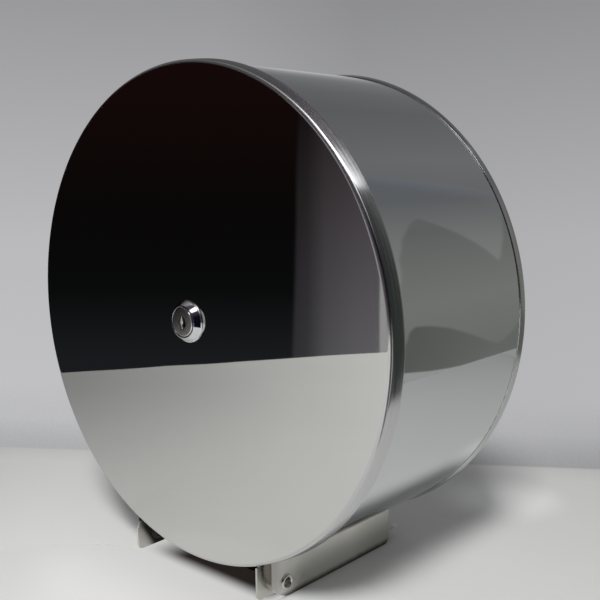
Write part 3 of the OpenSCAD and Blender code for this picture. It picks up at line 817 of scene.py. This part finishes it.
def add_prism(bm, outline, near, far, flank_material=0):
    """A closed upright prism along the lock's axis from an outline of (across, up) points."""
    caps = [[bm.verts.new(over_cover(x, z, h)) for x, z in outline] for h in (near, far)]
    for cap in caps:
        bm.faces.new(cap)
    add_flanks(bm, *caps, flank_material)


def prism_tool(outline, near, far):
    """A prism as a passing object, for cutting or joining."""
    bm = bmesh.new()
    add_prism(bm, outline, near, far)
    bmesh.ops.recalc_face_normals(bm, faces=bm.faces)
    mesh = bpy.data.meshes.new("tool")
    bm.to_mesh(mesh)
    bm.free()
    obj = bpy.data.objects.new("tool", mesh)
    bpy.context.scene.collection.objects.link(obj)
    return obj


def square(half_w, half_h):
    return [(-half_w, -half_h), (half_w, -half_h), (half_w, half_h), (-half_w, half_h)]


def combine(obj, tools, operation):
    """Cuts the tools out of the body, or joins them to it, for good."""
    for tool in tools:
        mod = obj.modifiers.new("cut", "BOOLEAN")
        mod.object, mod.operation, mod.solver = tool, operation, "EXACT"
    bpy.context.view_layer.update()
    made = bpy.data.meshes.new_from_object(obj.evaluated_get(bpy.context.evaluated_depsgraph_get()))
    obj.modifiers.clear()
    obj.data = made
    for tool in tools:
        bpy.data.objects.remove(tool)


def finish_faces(obj, degrees, material_at, merge=False):
    """Shades the body smooth up to an angle and gives each face the material of its place."""
    bm = bmesh.new()
    bm.from_mesh(obj.data)
    if merge:
        bmesh.ops.dissolve_degenerate(bm, dist=1e-7, edges=bm.edges)
    smooth_by_angle(bm, degrees)
    for f in bm.faces:
        middle = f.calc_center_median() / MM
        f.material_index = material_at(-middle.y, math.hypot(middle.x, middle.z), f.normal)
    bm.to_mesh(obj.data)
    bm.free()


# ---- The cover, in mm ----

COVER_R, COVER_FACE, EDGE_R, SHEET = 129.98, 116.0, 2.0, 0.8
SKIRT, NOTCH_X, LOCK_HOLE = 9.0, 53.75, 9.6
# The skirt leans in towards the rounded edge, a little more near it, and ends in a rounded hem.
LEAN_DEG, REAR_LEAN_DEG, HEM_R = 9.0, 4.5, 0.38
SKIRT_STEPS, HEM_STEPS, COVER_STEPS = 9, 3, 384
FACE_RADII = [LOCK_HOLE, 10.5, 12, 14, 17] + [20 + 6 * i for i in range(18)] + [125, 126.7]
INSIDE_RADII = [127, 120, 100, 80, 60, 40, 20, LOCK_HOLE]


def cover_section():
    """The cover's section as (radius, depth) points: its front, its skirt and its inside."""
    lean, rear_lean = math.radians(LEAN_DEG), math.radians(REAR_LEAN_DEG)
    rear, edge_z = COVER_FACE - SKIRT, COVER_FACE - EDGE_R
    barrel_top = edge_z + EDGE_R * math.sin(lean)
    barrel_r = (barrel_top - rear - HEM_R) / (math.sin(lean) - math.sin(rear_lean))
    barrel_x = COVER_R - barrel_r * math.cos(rear_lean)
    barrel_z = barrel_top - barrel_r * math.sin(lean)
    flat = barrel_x + (barrel_r - EDGE_R) * math.cos(lean)
    front = [(r, COVER_FACE) for r in FACE_RADII] + arc(flat, edge_z, EDGE_R, 90, LEAN_DEG, 12)
    skirt = arc(barrel_x, barrel_z, barrel_r, LEAN_DEG, REAR_LEAN_DEG, SKIRT_STEPS)[1:]
    skirt += arc(COVER_R - HEM_R, rear + HEM_R, HEM_R, 0, -90, HEM_STEPS)[1:]
    skirt += arc(COVER_R - SHEET + HEM_R, rear + HEM_R, HEM_R, -90, -180, HEM_STEPS)[1:]
    skirt += arc(barrel_x, barrel_z, barrel_r - SHEET, REAR_LEAN_DEG + 1.2, LEAN_DEG - 0.8, 2)
    inside = arc(flat, edge_z, EDGE_R - SHEET, 0, 90, 6)
    inside += [(r, COVER_FACE - SHEET) for r in INSIDE_RADII]
    return front, skirt, inside


def waviness(x, y, r, depth):
    """The slight waves of the polished sheet, none at the lock and at the edge."""
    if depth <= COVER_FACE - EDGE_R + 1e-6:
        return 0.0
    fade = min(1.0, max(0.0, (COVER_R - 4 - r) / 25)) * min(1.0, max(0.0, (r - 12) / 25))
    wide = 0.030 * math.sin(x / 47 + 0.6) * math.cos(y / 61 - 0.4)
    return fade * (wide + 0.010 * math.sin(x / 19 + y / 23 + 1.1))


def cover_skin():
    """The cover: mirror disc, rounded edge and skirt, with the notch over the chute."""
    front, skirt, inside = cover_section()
    n_front, n_skirt = len(front), len(skirt)
    hem = range(n_front + SKIRT_STEPS, n_front + SKIRT_STEPS + 2 * HEM_STEPS)
    notch = math.asin(NOTCH_X / (COVER_R - SHEET / 2))
    down = -math.pi / 2
    open_steps = max(8, round(COVER_STEPS * notch / math.pi))
    closed = COVER_STEPS - open_steps
    angles = [down + notch + (2 * math.pi - 2 * notch) * i / closed for i in range(closed + 1)]
    angles += [down - notch + 2 * math.pi + 2 * notch * i / open_steps for i in range(1, open_steps)]
    bm = bmesh.new()
    grid = []
    for k, a in enumerate(angles):
        row = []
        for j, (r, depth) in enumerate(front + skirt + inside):
            if k > closed and n_front <= j < n_front + n_skirt:
                row.append(None)
                continue
            x, y = r * math.cos(a), r * math.sin(a)
            row.append(bm.verts.new((x * MM, -(depth + waviness(x, y, r, depth)) * MM, y * MM)))
        grid.append(row)
    count, total = len(grid[0]), len(grid)
    for k in range(total):
        a, b = grid[k], grid[(k + 1) % total]
        for j in range(count):
            if k >= closed and n_front - 1 <= j < n_front + n_skirt:
                continue
            j2 = (j + 1) % count
            face = bm.faces.new([a[j], b[j], b[j2], a[j2]])
            # The hem takes the dark cut_edge look, a painted dark line for the shade in the gap behind the
            # skirt.
            face.material_index = 0 if j < len(FACE_RADII) else (2 if j in hem else 1)
        if k >= closed:
            j, j2 = n_front - 1, n_front + n_skirt
            bm.faces.new([a[j], b[j], b[j2], a[j2]]).material_index = 1
    for k in (0, closed):
        wall = [grid[k][j] for j in range(n_front - 1, n_front + n_skirt + 1)]
        bm.faces.new(wall if k else list(reversed(wall))).material_index = 1
    bmesh.ops.recalc_face_normals(bm, faces=bm.faces)
    smooth_by_angle(bm, COVER_SMOOTH)
    looks = ("polished_steel", "edge_steel", "cut_edge")
    link_mesh("cover_skin", bm, looks, "cover", "front_cover")


cover_skin()

# ---- The lock, in mm ----

BEZEL_R, BEZEL_RISE, PLUG_R = 11.0, 3.9, 7.5
BEZEL_STEPS, PLUG_STEPS = 128, 96
STEM_R, STEM_HALF_WIDTH, STEM_LENGTH, THREAD = 9.5, 8.2, 20.0, 1.0
BORE_R, POCKET_R, POCKET_DEPTH = 6.45, 7.85, 1.3
PLUG_FACE, PLUG_HEAD_BACK, PLUG_BARREL_R, DRIVE_HALF, DRIVE_END = 4.05, -1.1, 6.4, 3.7, -22.2
FACE_T, CHAMBER_HALF_W, CHAMBER_HALF_H, CHAMBER_END = 0.9, 3.5, 4.8, -8.4
# Outline of the keyway's mouth, across and up.
KEYWAY = [
    (-1.3, 4.2), (-0.5, 3.6), (0.7, 3.0), (2.1, 1.5), (2.8, -0.4), (2.3, -2.2), (1.2, -3.3),
    (-0.2, -4.1), (-1.3, -3.9), (-1.3, -2.2), (-2.6, -0.9), (-3.1, 0.3), (-2.2, 1.5), (-1.5, 2.6),
]
WAFERS, WAFER_T, WAFER_PITCH, WAFER_GAP = 6, 0.9, 1.8, 0.12
# The front wafer's raised nose fills the left of the keyway.
NOSE = [
    (-1.0, 3.4), (-1.4, 2.4), (-2.1, 1.4), (-2.95, 0.3), (-2.5, -0.85), (-1.2, -2.1), (-1.2, -3.7),
    (-0.4, -3.8), (-0.3, -3.0), (-0.9, -1.7), (0.1, -0.6), (-0.1, 0.9), (-0.7, 2.3),
]
NOSE_TIP = (-1.3, 0.3)


def lock_bezel():
    """Chrome bezel with a slanted face and a thin foot, on a threaded stem with two flats."""
    outer = [
        (BEZEL_R, 0.0), (BEZEL_R, 0.4), (BEZEL_R - 0.1, 0.58), (BEZEL_R - 0.45, 0.72),
        (BEZEL_R - 2.3, BEZEL_RISE - 0.15), (BEZEL_R - 2.4, BEZEL_RISE - 0.03),
        (BEZEL_R - 2.55, BEZEL_RISE),
    ]
    inner = [
        (POCKET_R + 0.1, BEZEL_RISE), (POCKET_R, BEZEL_RISE - 0.1), (POCKET_R, -POCKET_DEPTH),
        (BORE_R, -POCKET_DEPTH), (BORE_R, -STEM_LENGTH),
    ]
    root = STEM_R - 0.45
    stem = [(STEM_R - 0.6, -STEM_LENGTH), (STEM_R - 0.5, -STEM_LENGTH + 0.4)]
    for i in range(int((STEM_LENGTH - 2.0) / THREAD)):
        low = -STEM_LENGTH + 0.6 + i * THREAD
        stem += [(root, low), (STEM_R, low + 0.4 * THREAD), (STEM_R, low + 0.55 * THREAD)]
    stem += [(root, -1.0), (root, 0.0)]

    def flats(x, z, h):
        if h < -0.02 and math.hypot(x, z) > POCKET_R + 0.2:
            x = max(-STEM_HALF_WIDTH, min(STEM_HALF_WIDTH, x))
        return x, z

    bm = turned(outer + inner + stem, BEZEL_STEPS, flats)
    link_mesh("lock_bezel", bm, ("lock_chrome",), "cover", "lock_barrel")


def lock_plug():
    """Turning plug: face with a rounded edge and the keyway, the wafers' chamber, the cam's drive."""
    body = [
        (0, PLUG_FACE), (PLUG_R - 0.45, PLUG_FACE), (PLUG_R - 0.2, PLUG_FACE - 0.1),
        (PLUG_R, PLUG_FACE - 0.4), (PLUG_R, PLUG_HEAD_BACK), (PLUG_BARREL_R, PLUG_HEAD_BACK),
        (PLUG_BARREL_R, -STEM_LENGTH), (0, -STEM_LENGTH),
    ]
    looks = ("lock_plug_metal", "lock_chrome", "lock_inside")
    bm = turned(body, PLUG_STEPS)
    obj = link_mesh("lock_plug_turned", bm, looks, "lock", "lock_plug")
    drive = prism_tool(square(DRIVE_HALF, DRIVE_HALF), -STEM_LENGTH + 0.5, DRIVE_END)
    combine(obj, [drive], "UNION")
    mouth = prism_tool(KEYWAY, PLUG_FACE + 1, PLUG_FACE - FACE_T - 0.1)
    chamber = prism_tool(square(CHAMBER_HALF_W, CHAMBER_HALF_H), PLUG_FACE - FACE_T, CHAMBER_END)
    combine(obj, [mouth, chamber], "DIFFERENCE")

    def material_at(out, from_axis, normal):
        height = out - COVER_FACE
        if height > PLUG_FACE - 0.42 and from_axis > PLUG_R - 0.42 and abs(normal.y) < 0.95:
            return 1
        # Inside the keyway and the chamber the near-black look paints the shade.
        inside = PLUG_FACE - 0.02 > height > CHAMBER_END - 0.05 and from_axis < PLUG_BARREL_R - 0.2
        return 2 if inside else 0

    finish_faces(obj, PLUG_SMOOTH, material_at, merge=True)


def lock_wafers():
    """Six stamped wafers in the chamber. The keyway cuts a notch of another height into each one."""
    bm = bmesh.new()
    half_w, half_h = CHAMBER_HALF_W - WAFER_GAP, CHAMBER_HALF_H - WAFER_GAP
    for i in range(WAFERS):
        near = PLUG_FACE - FACE_T - 0.25 - i * WAFER_PITCH
        shift = 0.45 if i % 2 else -0.35
        outline = [
            (half_w, -half_h), (-half_w + 0.3, -half_h), (-half_w, -half_h + 0.3),
            (-half_w, half_h - 0.3), (-half_w + 0.3, half_h), (half_w, half_h),
        ]
        notch = [
            (half_w, 3.6), (0.9, 3.3), (-0.9, 2.2), (-0.5, 0.5),
            (-0.5, -1.4), (-0.9, -2.6), (0.8, -3.5), (half_w, -3.7),
        ]
        outline += [(x, z + shift) for x, z in notch]
        # The wafers' sides take the near-black look, painted shade between them.
        add_prism(bm, outline, near, near - WAFER_T, flank_material=1)
    heights = (PLUG_FACE - 0.45, PLUG_FACE - FACE_T - 0.3)
    top, foot = [[bm.verts.new(over_cover(x, z, h)) for x, z in NOSE] for h in heights]
    tip = bm.verts.new(over_cover(*NOSE_TIP, PLUG_FACE - 0.1))
    bm.faces.new(foot)
    # The nose's sides take it too.
    add_flanks(bm, top, foot, 1)
    for k in range(len(NOSE)):
        bm.faces.new([top[k], top[(k + 1) % len(NOSE)], tip])
    bmesh.ops.recalc_face_normals(bm, faces=bm.faces)
    looks = ("wafer_brass", "lock_inside")
    link_mesh("lock_wafers_stamped", bm, looks, "lock", "lock_wafers")


lock_bezel()
lock_plug()
lock_wafers()

# ---- The back plate, in mm ----

PLATE_T, PLATE_R, RIM_HEIGHT, RIM_EDGE_T, DRUM_R = 1.0, 129.9, 5.0, 0.5, 128.7
SEAT_IN, SEAT_OUT, SEAT_RISE = 27.0, 50.0, 2.2
BEAD_AT, BEAD_R, SCREW_AT, SCREW_R = 113.0, 2.5, 70.0, 3.0
RIVETS, RIVET_AT, RIVET_HOLE_R = 4, 38.0, 1.65
PLATE_STEPS, DRILL_STEPS = 288, 36
# The rim's thinned edge reaches a little into the drum's wall, so that no slit shows.
RIM_INSIDE_R = DRUM_R - 0.1


def back_plate():
    """Pressed plate: raised seat for the spindle, a bead round it, and a rim turned forward."""
    seat_in, seat_out = SEAT_IN + SEAT_RISE, SEAT_OUT - SEAT_RISE
    rear = [
        (0, 0), (SEAT_IN, 0), (SEAT_IN + 0.7, 0.25), (seat_in - 0.3, SEAT_RISE - 0.2),
        (seat_in + 0.5, SEAT_RISE), (seat_out - 0.5, SEAT_RISE), (seat_out + 0.3, SEAT_RISE - 0.2),
        (SEAT_OUT - 0.7, 0.25), (SEAT_OUT, 0), (BEAD_AT - BEAD_R, 0),
    ]
    rear += arc(BEAD_AT, 0, BEAD_R, 180, 0, 10)[1:]
    rear += arc(PLATE_R - 2, 2, 2, -90, 0, 8)
    edge_r = RIM_EDGE_T / 2
    lip = arc(RIM_INSIDE_R + edge_r, RIM_HEIGHT - edge_r, edge_r, 0, 180, 8)
    lip += [(RIM_INSIDE_R, 3.5), (PLATE_R - PLATE_T, 2.6)]
    bead_outer = BEAD_R + PLATE_T
    bead_foot = math.degrees(math.asin(PLATE_T / bead_outer))
    front = arc(PLATE_R - 2, 2, 1, 0, -90, 6)
    front += arc(BEAD_AT, 0, bead_outer, bead_foot, 180 - bead_foot, 10)
    top = SEAT_RISE + PLATE_T
    front += [
        (SEAT_OUT + 0.3, PLATE_T), (SEAT_OUT - 0.4, PLATE_T + 0.25), (seat_out + 0.5, top - 0.15),
        (seat_out - 0.3, top), (seat_in + 0.3, top), (seat_in - 0.5, top - 0.15),
        (SEAT_IN + 0.4, PLATE_T + 0.25), (SEAT_IN - 0.3, PLATE_T), (0, PLATE_T),
    ]
    profile = [(r, depth - COVER_FACE) for r, depth in rear + lip + front]
    bm = turned(profile, PLATE_STEPS)
    looks = ("rim_steel", "rim_edge")
    obj = link_mesh("back_plate_pressed", bm, looks, "casing", "back_plate")
    holes = [(x, z, SCREW_R, 4) for x in (-SCREW_AT, SCREW_AT) for z in (-SCREW_AT, SCREW_AT)]
    for i in range(RIVETS):
        a = math.radians(45 + 360 / RIVETS * i)
        holes.append((RIVET_AT * math.cos(a), RIVET_AT * math.sin(a), RIVET_HOLE_R, 5))
    drills = []
    for x, z, r, reach in holes:
        ring = arc(x, z, r, 0, 360 - 360 / DRILL_STEPS, DRILL_STEPS - 1)
        drills.append(prism_tool(ring, -COVER_FACE - 2, -COVER_FACE + reach))
    combine(obj, drills, "DIFFERENCE")

    def material_at(out, from_axis, _):
        on_edge = out > RIM_HEIGHT - edge_r * 1.3
        return 1 if on_edge or (out > 2 and from_axis < RIM_INSIDE_R + 0.1) else 0

    finish_faces(obj, TURNED_SMOOTH, material_at)


back_plate()
